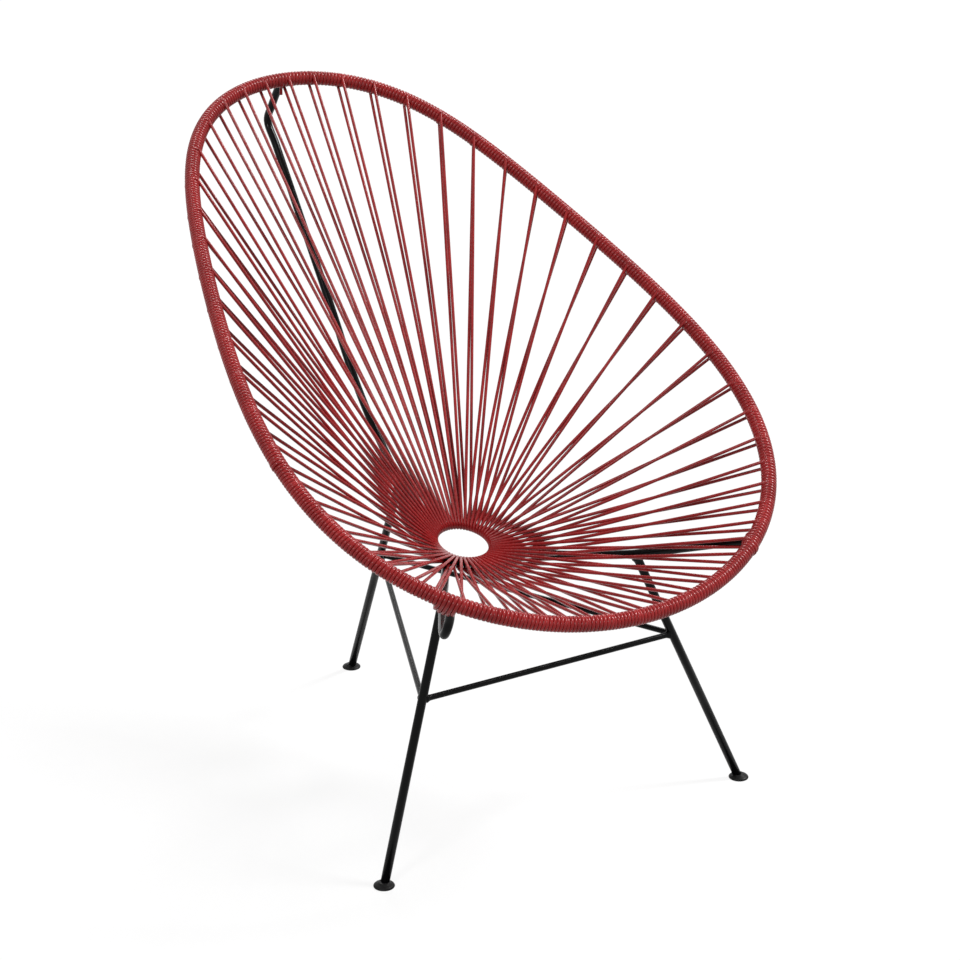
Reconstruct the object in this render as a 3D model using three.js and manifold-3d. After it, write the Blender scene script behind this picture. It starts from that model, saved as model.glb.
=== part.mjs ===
// Acapulco chair. A closed rim of steel rod is wound with plastic cord, and pairs of cord run from
// it to a small ring under the seat and back. Three ribs join the rim to the ring and stand on
// three legs, which stretchers tie together. The front is -Y and the floor is at z = 0.

import * as THREE from 'three';
import { mergeVertices } from 'three/addons/utils/BufferGeometryUtils.js';
import Module from 'manifold-3d';

const wasm = await Module();
wasm.setup();

// Rods and cord
const ROD = 12;
const RING_ROD = 9.5;
const STRETCHER_ROD = 8;
const CORD = 4.5;
const SEAT_GAP = 0.3;
const RIM_SEAT_GAP = 0.6;

// Rim, on the middle line of its rod: an ellipse made egg-shaped and squarer by three waves
const RIM_DEPTH = 1062;
const RIM_WIDTH = 698;
const RIM_HEIGHT = 634;
const RIM_SLOPE = THREE.MathUtils.degToRad(29.35);
const RIM_WAVE_SHARES = [1, 0.107, 0.049, -0.019];
const RIM_SWAY = 5.3;
const RIM_BOW = 2.2;
const RIM_LENGTH_SAMPLES = 2000;

// Ring that the seat cords hang from
const RING_Y = -0.0292 * RIM_DEPTH;
const RING_HEIGHT = 0.508 * RIM_HEIGHT;
const RING_SLOPE = THREE.MathUtils.degToRad(18.9);

// Feet and legs
const FRONT_FOOT_X = 0.41 * RIM_WIDTH;
const FRONT_FOOT_Y = -0.2863 * RIM_DEPTH;
const BACK_FOOT_Y = 0.2877 * RIM_DEPTH;
const FOOT_RADIUS = 14;
const FOOT_EDGE = 2;
const FOOT_HEIGHT = 5;
const STRETCHER_HEIGHT = 0.6925 * RING_HEIGHT;

// Front ribs: they run under the seat to the tops of the legs, and on to an elbow close to the rim.
// The left one turns up there from well below the rim, and the right one is nearly straight.
const FRONT_RIB_RING_ANGLE = THREE.MathUtils.degToRad(63);
const FRONT_RIB_CLEARANCE = 11;
const FRONT_RIB_INNER_SHARES = [0.18, 0.52];
const FRONT_LEG_RIM_SHARE = 0.0955;
const FRONT_LEG_SHARE = 0.543;
const FRONT_LEG_DROP = 31;
const ELBOW_REACH = 26;
const ELBOW_DROPS = { right: 8, left: 51 };

// Back rib: depths and heights are shares of the line from the ring to the crown of the rim
const BACK_RIB_SHARES = [
  [0.02, 0], [0.09, 0], [0.18, 0.022], [0.29, 0.067], [0.43, 0.152], [0.57, 0.262], [0.744, 0.455],
  [0.945, 0.648], [1.105, 0.812], [1.163, 0.87], [1.129, 0.914], [1.05, 0.985],
];
const BACK_LEG_INDEX = 3;

// Weave: pairs of strands, gathered in bays that share one run of winding on the rim
const BAYS = 19;
const PAIRS_PER_BAY = 3;
const PAIRS = BAYS * PAIRS_PER_BAY;
const RIM_JOINT_PLACES = { right: 6.3, left: PAIRS - 7.5 };
const FRONT_GAP = 35;
const SIDE_GAP = 65;
const CROWN_GAP = 41;
const FRONT_RAMP = [9, 14];
const CROWN_RAMP = [22, 28];
const WEAVE_SHIFT = 21;
const WEAVE_SHIFT_REACH = 400;
const STRAND_SIDE_GAP = 0.5;
const STRAND_SAMPLES = 200;
const LOOP_STEPS = 3;
const LOOP_PITCH_SHARE = 0.916;
const LOOP_SQUEEZE_SHARE = 0.85;
const BRIDGE = 1.6;
const CORD_SIDES = 5;
const TURNS_PER_BAY = 3;
const VALLEY_DEPTH = 1.4;

// Facets
const ROD_SIDES = 8;
const RIM_SPANS = 3;
const RING_SPANS = 38;
const ROUND_SIDES = 10;
const FOOT_SIDES = 20;
const RIB_STEPS = 36;

const BLACK_STEEL = { color: 0x17171a, roughness: 0.38, metalness: 0.55 };
const RED_CORD = { color: 0xb03a34, roughness: 0.42, metalness: 0 };
const BLACK_RUBBER = { color: 0x101012, roughness: 0.7, metalness: 0 };

const WOUND_RADIUS = ROD / 2 + CORD;
const UP = new THREE.Vector3(0, 0, 1);
const RING_NORMAL = new THREE.Vector3(0, -Math.sin(RING_SLOPE), Math.cos(RING_SLOPE));
const RING_BACKWARD = new THREE.Vector3(0, Math.cos(RING_SLOPE), Math.sin(RING_SLOPE));
const RING_CENTRE = new THREE.Vector3(0, RING_Y, RING_HEIGHT);

// The ring is as large as its loops of cord need, pressed side by side round its inner side
const LOOP_HOLD = RING_ROD / 2 + CORD / 2 + SEAT_GAP;
const LOOP_RADIUS = LOOP_HOLD / Math.cos(Math.PI / LOOP_STEPS / 2);
const RING_RADIUS = LOOP_HOLD + (PAIRS * LOOP_PITCH_SHARE * CORD) / (2 * Math.PI);

const chair = new THREE.Group();

// Solids

function toManifold(geometry) {
  const bare = geometry.clone();
  bare.deleteAttribute('normal');
  bare.deleteAttribute('uv');
  const merged = mergeVertices(bare);
  const vertProperties = new Float32Array(merged.attributes.position.array);
  const triVerts = new Uint32Array(merged.index.array);
  return new wasm.Manifold(new wasm.Mesh({ numProp: 3, vertProperties, triVerts }));
}

function toGeometry(manifold) {
  const mesh = manifold.getMesh();
  const geometry = new THREE.BufferGeometry();
  geometry.setAttribute('position', new THREE.BufferAttribute(mesh.vertProperties, 3));
  geometry.setIndex(new THREE.BufferAttribute(mesh.triVerts, 1));
  return geometry;
}

function addPiece(name, manifold, finish) {
  const geometry = toGeometry(manifold);
  geometry.computeVertexNormals();
  const mesh = new THREE.Mesh(geometry, new THREE.MeshStandardMaterial(finish));
  mesh.name = name;
  chair.add(mesh);
}

// Rows of points that go round a tube, joined row to row into a closed skin
function skin(rows, closed) {
  const sides = rows[0].length;
  const positions = rows.flat().flatMap((point) => point.toArray());
  const index = [];
  const last = closed ? rows.length : rows.length - 1;
  for (let i = 0; i < last; i += 1) {
    const next = ((i + 1) % rows.length) * sides;
    for (let j = 0; j < sides; j += 1) {
      const k = (j + 1) % sides;
      index.push(i * sides + j, i * sides + k, next + k);
      index.push(i * sides + j, next + k, next + j);
    }
  }
  if (!closed) {
    const end = (rows.length - 1) * sides;
    for (let j = 1; j < sides - 1; j += 1) {
      index.push(0, j + 1, j);
      index.push(end, end + j, end + j + 1);
    }
  }
  const geometry = new THREE.BufferGeometry();
  geometry.setAttribute('position', new THREE.Float32BufferAttribute(positions, 3));
  geometry.setIndex(index);
  return geometry;
}

function circle(radius, sides) {
  const shape = new THREE.Shape();
  for (let i = 0; i < sides; i += 1) {
    const angle = (2 * Math.PI * i) / sides;
    const corner = [radius * Math.cos(angle), radius * Math.sin(angle)];
    if (i === 0) shape.moveTo(...corner);
    else shape.lineTo(...corner);
  }
  shape.closePath();
  return shape;
}

// A round rod along a curve, made fatter by a clearance when it is a cutter
function rodAlong(curve, diameter, steps, clearance = 0) {
  const radius = diameter / 2 + clearance / Math.cos(Math.PI / ROUND_SIDES);
  const options = { steps, extrudePath: curve, bevelEnabled: false };
  return toManifold(new THREE.ExtrudeGeometry(circle(radius, ROUND_SIDES), options));
}

// Rim line and its frames

class RimLine extends THREE.Curve {
  getPoint(t, target = new THREE.Vector3()) {
    const angle = 2 * Math.PI * t;
    const along = -Math.cos(angle);
    let across = 0;
    RIM_WAVE_SHARES.forEach((share, i) => {
      across += share * Math.sin((i + 1) * angle);
    });
    const depth = (RIM_DEPTH / 2) * along;
    const lift = RIM_BOW * Math.cos(Math.PI * along) - RIM_SWAY * Math.sin(Math.PI * along);
    const y = depth * Math.cos(RIM_SLOPE) - lift * Math.sin(RIM_SLOPE);
    const z = RIM_HEIGHT + depth * Math.sin(RIM_SLOPE) + lift * Math.cos(RIM_SLOPE);
    return target.set((RIM_WIDTH / 2) * across, y, z);
  }
}

const rimLine = new RimLine();
rimLine.arcLengthDivisions = RIM_LENGTH_SAMPLES;
const RIM_LENGTH = rimLine.getLength();
const RIM_NORMAL = new THREE.Vector3(0, -Math.sin(RIM_SLOPE), Math.cos(RIM_SLOPE));

// Place on the rim at a distance from the front lip, going to the right first
function rimFrame(distance) {
  const share = THREE.MathUtils.euclideanModulo(distance / RIM_LENGTH, 1);
  const centre = rimLine.getPointAt(share);
  const tangent = rimLine.getTangentAt(share);
  const outward = new THREE.Vector3().crossVectors(tangent, RIM_NORMAL).normalize();
  const downward = new THREE.Vector3().crossVectors(tangent, outward);
  return { centre, tangent, outward, downward };
}

function rimPoint(distance, radius, angle) {
  const frame = rimFrame(distance);
  return frame.centre
    .clone()
    .addScaledVector(frame.outward, radius * Math.cos(angle))
    .addScaledVector(frame.downward, radius * Math.sin(angle));
}

function rimRow(distance, radius) {
  const row = [];
  for (let j = 0; j < ROD_SIDES; j += 1) {
    row.push(rimPoint(distance, radius, (2 * Math.PI * j) / ROD_SIDES));
  }
  return row;
}

// Where the pairs of strands meet the rim, as distances from the front lip

function pairDistances() {
  const half = (PAIRS - 1) / 2;
  const distances = [FRONT_GAP / 2];
  for (let i = 1; i <= half; i += 1) {
    const side = THREE.MathUtils.smoothstep(i, ...FRONT_RAMP);
    const crown = THREE.MathUtils.smoothstep(i, ...CROWN_RAMP);
    const gap = FRONT_GAP + (SIDE_GAP - FRONT_GAP) * side + (CROWN_GAP - SIDE_GAP) * crown;
    distances.push(distances[i - 1] + gap);
  }
  const scale = RIM_LENGTH / 2 / distances[half];
  const right = distances.map((distance) => distance * scale);
  const left = right.slice(0, half).reverse();
  return right.concat(left.map((distance) => RIM_LENGTH - distance));
}

// The weave sits a little to the left at the front, as it was wound
function shifted(distance) {
  const fromLip = Math.min(distance, RIM_LENGTH - distance);
  return distance - WEAVE_SHIFT * Math.max(0, 1 - fromLip / WEAVE_SHIFT_REACH);
}

const PAIR_DISTANCES = pairDistances().map(shifted);

// Distance of a place counted in pairs, such as 6.3 for a little past the seventh pair
function placeDistance(place) {
  const pair = Math.floor(place);
  return THREE.MathUtils.lerp(PAIR_DISTANCES[pair], PAIR_DISTANCES[pair + 1], place - pair);
}

function bayStart(bay) {
  const next = (bay % BAYS) * PAIRS_PER_BAY;
  const before = (next + PAIRS - 1) % PAIRS;
  const wrap = next === 0 ? RIM_LENGTH : 0;
  const start = (PAIR_DISTANCES[before] - wrap + PAIR_DISTANCES[next]) / 2;
  return bay === BAYS ? start + RIM_LENGTH : start;
}

// Rim rod

const rimStations = [];
for (let bay = 0; bay < BAYS; bay += 1) {
  for (let i = 0; i < RIM_SPANS; i += 1) {
    rimStations.push(THREE.MathUtils.lerp(bayStart(bay), bayStart(bay + 1), i / RIM_SPANS));
  }
}

function rimRod(clearance) {
  const radius = ROD / 2 + clearance / Math.cos(Math.PI / ROD_SIDES);
  return toManifold(skin(rimStations.map((distance) => rimRow(distance, radius)), true));
}

// Ribs and legs, on their middle lines

function ringPoint(angle) {
  return RING_CENTRE.clone()
    .addScaledVector(new THREE.Vector3(1, 0, 0), RING_RADIUS * Math.sin(angle))
    .addScaledVector(RING_BACKWARD, -RING_RADIUS * Math.cos(angle));
}

const RIB_SEAT_DEPTH = LOOP_RADIUS + CORD / 2 + SEAT_GAP + ROD / 2;

// The end of a rod, a quarter of its diameter short of the middle line of the rod that it meets
function shortOf(middle, from) {
  return middle.clone().add(from.clone().sub(middle).setLength(ROD / 4));
}

// The seat's line from the ring to the rim, over a front leg
function seatOverLeg(sign) {
  const ringJoint = ringPoint(sign * FRONT_RIB_RING_ANGLE);
  const rimJoint = rimFrame(sign * FRONT_LEG_RIM_SHARE * RIM_LENGTH).centre;
  return ringJoint.lerp(rimJoint, FRONT_LEG_SHARE);
}

function frontLegTop(sign) {
  return seatOverLeg(sign).addScaledVector(UP, -FRONT_LEG_DROP);
}

function frontRibPoints(side, sign) {
  const legTop = frontLegTop(sign);
  const ringJoint = ringPoint(sign * FRONT_RIB_RING_ANGLE);
  const rimJoint = rimFrame(placeDistance(RIM_JOINT_PLACES[side])).centre;
  const drop = RIB_SEAT_DEPTH + FRONT_RIB_CLEARANCE;
  const underSeat = FRONT_RIB_INNER_SHARES.map((share) =>
    ringJoint.clone().lerp(seatOverLeg(sign), share).addScaledVector(UP, -drop),
  );
  const plan = rimJoint.clone().sub(legTop).setZ(0).normalize();
  const elbow = rimJoint
    .clone()
    .addScaledVector(plan, -ELBOW_REACH)
    .addScaledVector(UP, -ELBOW_DROPS[side]);
  return [
    ringJoint.clone().addScaledVector(RING_NORMAL, -RIB_SEAT_DEPTH),
    ...underSeat,
    legTop,
    legTop.clone().lerp(elbow, 1 / 2),
    elbow,
    shortOf(rimJoint, elbow),
  ];
}

// Back rib: under the ring, up behind the seat and over the crown of the rim
const crown = rimLine.getPoint(1 / 2);
const backRingJoint = ringPoint(Math.PI).addScaledVector(RING_NORMAL, -RIB_SEAT_DEPTH);
const backSpan = crown.clone().sub(backRingJoint);
const backRibPoints = BACK_RIB_SHARES.map(([depthShare, heightShare]) =>
  new THREE.Vector3(0, depthShare * backSpan.y, heightShare * backSpan.z).add(backRingJoint),
);
backRibPoints.push(shortOf(crown, backRibPoints.at(-1)));

const ribCurves = {
  right: new THREE.CatmullRomCurve3(frontRibPoints('right', 1)),
  left: new THREE.CatmullRomCurve3(frontRibPoints('left', -1)),
  back: new THREE.CatmullRomCurve3(backRibPoints),
};
const legTops = {
  right: frontLegTop(1),
  left: frontLegTop(-1),
  back: backRibPoints[BACK_LEG_INDEX],
};
const feet = {
  right: new THREE.Vector3(FRONT_FOOT_X, FRONT_FOOT_Y, 0),
  left: new THREE.Vector3(-FRONT_FOOT_X, FRONT_FOOT_Y, 0),
  back: new THREE.Vector3(0, BACK_FOOT_Y, 0),
};

function rib(side, clearance) {
  return rodAlong(ribCurves[side], ROD, RIB_STEPS, clearance);
}

function leg(side, clearance) {
  const axis = new THREE.LineCurve3(feet[side], shortOf(legTops[side], feet[side]));
  const rod = rodAlong(axis, ROD, 1, clearance);
  return rod.trimByPlane([0, 0, 1], FOOT_HEIGHT + SEAT_GAP - clearance);
}

function legPoint(side, height) {
  return feet[side].clone().lerp(legTops[side], height / legTops[side].z);
}

// Stretcher: a thin rod between the middle lines of two legs
function stretcher([side, otherSide], clearance) {
  const ends = [legPoint(side, STRETCHER_HEIGHT), legPoint(otherSide, STRETCHER_HEIGHT)];
  return rodAlong(new THREE.LineCurve3(...ends), STRETCHER_ROD, 1, clearance);
}

// Foot: a domed glide that the leg stands on
function foot(side) {
  const seatRadius = ROD / 2 + SEAT_GAP;
  const shoulder = (FOOT_RADIUS + seatRadius) / 2;
  const shoulderHeight = FOOT_EDGE + (FOOT_HEIGHT - FOOT_EDGE) * Math.sin(Math.PI / 4);
  const profile = [
    new THREE.Vector2(0, 0),
    new THREE.Vector2(FOOT_RADIUS, 0),
    new THREE.Vector2(FOOT_RADIUS, FOOT_EDGE),
    new THREE.Vector2(shoulder, shoulderHeight),
    new THREE.Vector2(seatRadius, FOOT_HEIGHT),
    new THREE.Vector2(0, FOOT_HEIGHT),
  ];
  const geometry = new THREE.LatheGeometry(profile, FOOT_SIDES);
  geometry.rotateX(Math.PI / 2);
  geometry.translate(...feet[side].toArray());
  return toManifold(geometry);
}

// Seat cords

function pairAngle(pair) {
  return ((pair + 1 / 2) * 2 * Math.PI) / PAIRS;
}

// One pair of strands as a single cord: from the top of the rim, under the ring, round its inner
// side and over it, and out to the underside of the rim
function pairRoute(pair) {
  const rim = rimFrame(PAIR_DISTANCES[pair]);
  const ring = ringPoint(pairAngle(pair));
  const ringOutward = ring.clone().sub(RING_CENTRE).normalize();
  const ringTangent = new THREE.Vector3().crossVectors(RING_NORMAL, ringOutward);
  const span = rim.centre.clone().sub(ring);
  const direction = span.clone().normalize();
  const climb = Math.asin(direction.dot(RING_NORMAL));
  const rise = new THREE.Vector3().crossVectors(direction, rim.tangent).normalize();
  if (rise.z < 0) rise.negate();

  // Both strands keep to their own side of the plane that holds the pair, so they pass clear
  const sideways = new THREE.Vector3().crossVectors(rise, direction).normalize();
  if (sideways.dot(rim.tangent) < 0) sideways.negate();
  const sideShift = (CORD + STRAND_SIDE_GAP) / 2;
  const rimShift = sideShift / sideways.dot(rim.tangent);
  const rimHold = ROD / 2 + CORD / 2;
  const loopOffset = (turn) =>
    ringOutward
      .clone()
      .multiplyScalar(LOOP_RADIUS * Math.cos(turn))
      .addScaledVector(RING_NORMAL, LOOP_RADIUS * Math.sin(turn));
  const ringShift = (side, turn) =>
    (side * sideShift - loopOffset(turn).dot(sideways)) / ringTangent.dot(sideways);
  const underTurn = climb - Math.PI / 2;
  const overTurn = underTurn - Math.PI;
  const underShift = ringShift(-1, underTurn);
  const overShift = ringShift(1, overTurn);

  const route = [];
  const top = rim.centre.clone().addScaledVector(rise, rimHold);
  route.push({ point: top.addScaledVector(rim.tangent, -rimShift), side: rim.tangent });
  for (let i = 0; i <= LOOP_STEPS; i += 1) {
    const turn = THREE.MathUtils.lerp(underTurn, overTurn, i / LOOP_STEPS);
    const along = THREE.MathUtils.lerp(underShift, overShift, i / LOOP_STEPS);
    const point = ring.clone().add(loopOffset(turn)).addScaledVector(ringTangent, along);
    route.push({ point, side: ringTangent });
  }
  const bottom = rim.centre.clone().addScaledVector(rise, -rimHold);
  route.push({ point: bottom.addScaledVector(rim.tangent, rimShift), side: rim.tangent });
  return { route, rim };
}

// Slides a point on a strand back along it until it stands clear of the winding on the rim
function seatOnWinding(point, direction, rim) {
  const seat = WOUND_RADIUS + RIM_SEAT_GAP;
  const across = (vector) => vector.clone().addScaledVector(rim.tangent, -vector.dot(rim.tangent));
  const offset = across(point.clone().sub(rim.centre));
  const step = across(direction);
  const a = step.dot(step);
  const b = offset.dot(step);
  const c = offset.dot(offset) - seat * seat;
  const travel = (-b + Math.sqrt(Math.max(0, b * b - a * c))) / a;
  return point.clone().addScaledVector(direction, travel);
}

function pairCord(pair) {
  const { route, rim } = pairRoute(pair);
  const last = route.length - 1;
  const rows = route.map(({ point, side }, i) => {
    const before = route[Math.max(0, i - 1)].point;
    const after = route[Math.min(last, i + 1)].point;
    const direction = after.clone().sub(before).normalize();
    const normal = new THREE.Vector3().crossVectors(direction, side).normalize();
    const lateral = new THREE.Vector3().crossVectors(normal, direction);
    const atRim = i === 0 || i === last;
    const radius = (CORD / 2) * (atRim ? 1 : LOOP_SQUEEZE_SHARE);
    const row = [];
    for (let j = 0; j < CORD_SIDES; j += 1) {
      const angle = (2 * Math.PI * j) / CORD_SIDES;
      const corner = point
        .clone()
        .addScaledVector(lateral, radius * Math.cos(angle))
        .addScaledVector(normal, radius * Math.sin(angle));
      if (i === 0) row.push(seatOnWinding(corner, direction, rim));
      else if (i === last) row.push(seatOnWinding(corner, direction.clone().negate(), rim));
      else row.push(corner);
    }
    return row;
  });
  return toManifold(skin(rows, false));
}

// Thin band that runs through the loops of a bay inside the ring, where real loops press together
function loopBridge(bay) {
  const rows = [];
  for (let i = 0; i < PAIRS_PER_BAY; i += 1) {
    const { route } = pairRoute(bay * PAIRS_PER_BAY + i);
    const before = route[Math.floor((route.length - 1) / 2)].point;
    const after = route[Math.ceil((route.length - 1) / 2)].point;
    const centre = before.clone().lerp(after, 1 / 2);
    const outward = centre.clone().sub(RING_CENTRE);
    outward.addScaledVector(RING_NORMAL, -outward.dot(RING_NORMAL)).normalize();
    const corners = [[-1, 0], [1, 1], [1, -1]];
    rows.push(
      corners.map(([out, up]) =>
        centre
          .clone()
          .addScaledVector(outward, (out * BRIDGE) / 2)
          .addScaledVector(RING_NORMAL, (up * BRIDGE) / 2),
      ),
    );
  }
  return toManifold(skin(rows, false));
}

function seatCords(bay) {
  let cords = loopBridge(bay);
  for (let i = 0; i < PAIRS_PER_BAY; i += 1) {
    cords = cords.add(pairCord(bay * PAIRS_PER_BAY + i));
  }
  return cords;
}

// Least gap between the two strands of a pair where they pass each other, sampled along them
function leastStrandGap() {
  let least = Infinity;
  for (let pair = 0; pair < PAIRS; pair += 1) {
    const { route } = pairRoute(pair);
    const strands = [
      new THREE.Line3(route[0].point, route[1].point),
      new THREE.Line3(route[route.length - 1].point, route[route.length - 2].point),
    ];
    const onOne = new THREE.Vector3();
    const onOther = new THREE.Vector3();
    for (let i = 0; i <= STRAND_SAMPLES; i += 1) {
      strands[0].at(i / STRAND_SAMPLES, onOne);
      strands[1].closestPointToPoint(onOne, true, onOther);
      least = Math.min(least, onOne.distanceTo(onOther) - CORD);
    }
  }
  return least;
}

// Winding on the rim: a sleeve whose outside is one screw-shaped ridge, a column of crests and
// valleys for each corner of the rod

function windingColumns(start, end) {
  const pitch = (end - start) / (TURNS_PER_BAY + 1 - 1 / ROD_SIDES);
  const columns = [];
  for (let j = 0; j < ROD_SIDES; j += 1) {
    const column = [{ distance: start, radius: WOUND_RADIUS - VALLEY_DEPTH }];
    for (let turn = 0; turn < TURNS_PER_BAY; turn += 1) {
      const crest = start + pitch * (turn + 1 / 2 + j / ROD_SIDES);
      column.push({ distance: crest, radius: WOUND_RADIUS });
      if (turn < TURNS_PER_BAY - 1) {
        column.push({ distance: crest + pitch / 2, radius: WOUND_RADIUS - VALLEY_DEPTH });
      }
    }
    column.push({ distance: end, radius: WOUND_RADIUS - VALLEY_DEPTH });
    columns.push(column);
  }
  return columns;
}

function winding(bay) {
  const start = bayStart(bay) + SEAT_GAP / 2;
  const end = bayStart(bay + 1) - SEAT_GAP / 2;
  const positions = [];
  const index = [];
  const place = (distance, radius, j) => {
    positions.push(...rimPoint(distance, radius, (2 * Math.PI * j) / ROD_SIDES).toArray());
    return positions.length / 3 - 1;
  };

  const outer = windingColumns(start, end).map((column, j) =>
    column.map(({ distance, radius }) => ({ distance, id: place(distance, radius, j) })),
  );
  const boreRadius = ROD / 2 + SEAT_GAP / Math.cos(Math.PI / ROD_SIDES);
  const bore = outer.map((column, j) => {
    const stations = [];
    for (let i = 0; i <= RIM_SPANS; i += 1) {
      const station = THREE.MathUtils.lerp(bayStart(bay), bayStart(bay + 1), i / RIM_SPANS);
      const distance = THREE.MathUtils.clamp(station, start, end);
      stations.push({ distance, id: place(distance, boreRadius, j) });
    }
    return stations;
  });

  // Joins two columns that stand side by side, always stepping to the nearer next point
  const zip = (left, right, outside) => {
    let i = 0;
    let k = 0;
    while (i < left.length - 1 || k < right.length - 1) {
      const nextLeft = i < left.length - 1 ? left[i + 1].distance : Infinity;
      const nextRight = k < right.length - 1 ? right[k + 1].distance : Infinity;
      const triangle = [left[i].id, right[k].id];
      if (nextLeft <= nextRight) {
        i += 1;
        triangle.push(left[i].id);
      } else {
        k += 1;
        triangle.push(right[k].id);
      }
      if (!outside) triangle.reverse();
      index.push(...triangle);
    }
  };

  for (let j = 0; j < ROD_SIDES; j += 1) {
    const k = (j + 1) % ROD_SIDES;
    zip(outer[j], outer[k], true);
    zip(bore[j], bore[k], false);
    index.push(outer[j][0].id, bore[j][0].id, bore[k][0].id);
    index.push(outer[j][0].id, bore[k][0].id, outer[k][0].id);
    const [outerJ, outerK] = [outer[j].at(-1).id, outer[k].at(-1).id];
    const [boreJ, boreK] = [bore[j].at(-1).id, bore[k].at(-1).id];
    index.push(outerJ, boreK, boreJ);
    index.push(outerJ, outerK, boreK);
  }

  const geometry = new THREE.BufferGeometry();
  geometry.setAttribute('position', new THREE.Float32BufferAttribute(positions, 3));
  geometry.setIndex(index);
  return toManifold(geometry);
}

// Assembly

function twoDigits(number) {
  return String(number).padStart(2, '0');
}

const SIDES = ['right', 'left', 'back'];
const STRETCHERS = SIDES.map((side, i) => [side, SIDES[(i + 1) % SIDES.length]]);
const rimCutter = rimRod(SEAT_GAP);
const ribCutters = SIDES.map((side) => rib(side, SEAT_GAP));

addPiece('rim_tube', rimRod(0), BLACK_STEEL);

const ring = new THREE.TorusGeometry(RING_RADIUS, RING_ROD / 2, ROD_SIDES, RING_SPANS);
ring.rotateX(RING_SLOPE);
ring.translate(...RING_CENTRE.toArray());
addPiece('centre_ring', toManifold(ring), BLACK_STEEL);

SIDES.forEach((side, i) => {
  const [, otherSide] = STRETCHERS[i];
  const tie = stretcher(STRETCHERS[i], 0)
    .subtract(leg(side, SEAT_GAP))
    .subtract(leg(otherSide, SEAT_GAP))
    .subtract(stretcher(STRETCHERS[(i + 1) % SIDES.length], SEAT_GAP));
  addPiece(`${side}_rib`, rib(side, 0).subtract(rimCutter), BLACK_STEEL);
  addPiece(`${side}_leg`, leg(side, 0).subtract(ribCutters[i]), BLACK_STEEL);
  addPiece(`${side}_${otherSide}_stretcher`, tie, BLACK_STEEL);
  addPiece(`${side}_foot`, foot(side), BLACK_RUBBER);
});

for (let bay = 0; bay < BAYS; bay += 1) {
  const turns = ribCutters.reduce((sleeve, cutter) => sleeve.subtract(cutter), winding(bay));
  addPiece(`rim_winding_${twoDigits(bay + 1)}`, turns, RED_CORD);
  addPiece(`seat_cords_${twoDigits(bay + 1)}`, seatCords(bay), RED_CORD);
}

console.log(`least gap between strands that pass: ${leastStrandGap().toFixed(2)} mm`);

// The origin stands on the floor at the middle of the chair's outline
const outline = new THREE.Box3().setFromObject(chair);
chair.position.y = -(outline.min.y + outline.max.y) / 2;

export default chair;
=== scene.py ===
# Acapulco chair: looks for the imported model. Units are metres, and lengths are written in MM.

from math import atan2, ceil, cos, floor, pi, radians, sin, sqrt

import bpy
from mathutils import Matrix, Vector


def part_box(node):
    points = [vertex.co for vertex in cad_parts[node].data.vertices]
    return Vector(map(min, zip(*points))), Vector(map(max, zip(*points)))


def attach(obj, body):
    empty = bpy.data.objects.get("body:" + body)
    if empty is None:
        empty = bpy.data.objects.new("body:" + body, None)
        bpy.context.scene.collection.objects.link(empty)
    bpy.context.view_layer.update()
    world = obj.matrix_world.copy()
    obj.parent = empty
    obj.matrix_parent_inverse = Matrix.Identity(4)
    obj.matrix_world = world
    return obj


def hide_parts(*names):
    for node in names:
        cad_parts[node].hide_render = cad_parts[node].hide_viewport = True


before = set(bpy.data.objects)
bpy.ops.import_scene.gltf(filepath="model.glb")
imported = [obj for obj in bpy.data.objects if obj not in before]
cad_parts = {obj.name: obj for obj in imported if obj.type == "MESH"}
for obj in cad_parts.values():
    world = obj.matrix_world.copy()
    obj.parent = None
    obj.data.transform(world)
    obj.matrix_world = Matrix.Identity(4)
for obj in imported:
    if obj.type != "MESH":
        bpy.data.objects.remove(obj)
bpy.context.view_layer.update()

MM = 0.001

# Sizes of the construction

ROD = 12 * MM
RING_ROD = 9.5 * MM
STRETCHER_ROD = 8 * MM
CORD = 4.5 * MM

RIM_DEPTH = 1062 * MM
RIM_WIDTH = 698 * MM
RIM_HEIGHT = 634 * MM
RIM_SLOPE = radians(29.35)
# Shares of the half width, one for each sine of the outline
RIM_WAVE_SHARES = (1, 0.107, 0.049, -0.019)
RIM_SWAY = 5.3 * MM
RIM_BOW = 2.2 * MM

RING_RADIUS = 44.69 * MM
RING_Y = -0.0292 * RIM_DEPTH
RING_HEIGHT = 0.508 * RIM_HEIGHT
RING_SLOPE = radians(18.9)

FRONT_FOOT_X = 0.41 * RIM_WIDTH
FRONT_FOOT_Y = -0.2863 * RIM_DEPTH
BACK_FOOT_Y = 0.2877 * RIM_DEPTH
FOOT_RADIUS = 14 * MM
FOOT_HEIGHT = 5 * MM
STRETCHER_HEIGHT = 0.6925 * RING_HEIGHT

FRONT_RIB_RING_ANGLE = radians(63)
# Shares of the way from the ring to the leg, and how far a rib hangs below the straight line
FRONT_RIB_INNER_DROPS = ((0.2, 14.5 * MM), (0.42, 20.5 * MM), (0.62, 25.5 * MM))
FRONT_LEG_RIM_SHARE = 0.0955
FRONT_LEG_SHARE = 0.543
FRONT_LEG_DROP = 31 * MM
# Points of each elbow, from the joint with the rim: along the rib, to its left, and up
ELBOW_OFFSETS = {
    "right": ((-26 * MM, 0, -8 * MM),),
    "left": (
        (-36 * MM, 10 * MM, -54 * MM),
        (-26 * MM, 9.5 * MM, -52 * MM),
        (-19.5 * MM, 7 * MM, -43 * MM),
        (-17 * MM, 4 * MM, -30 * MM),
        (-9 * MM, 3 * MM, -13 * MM),
    ),
}
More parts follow.
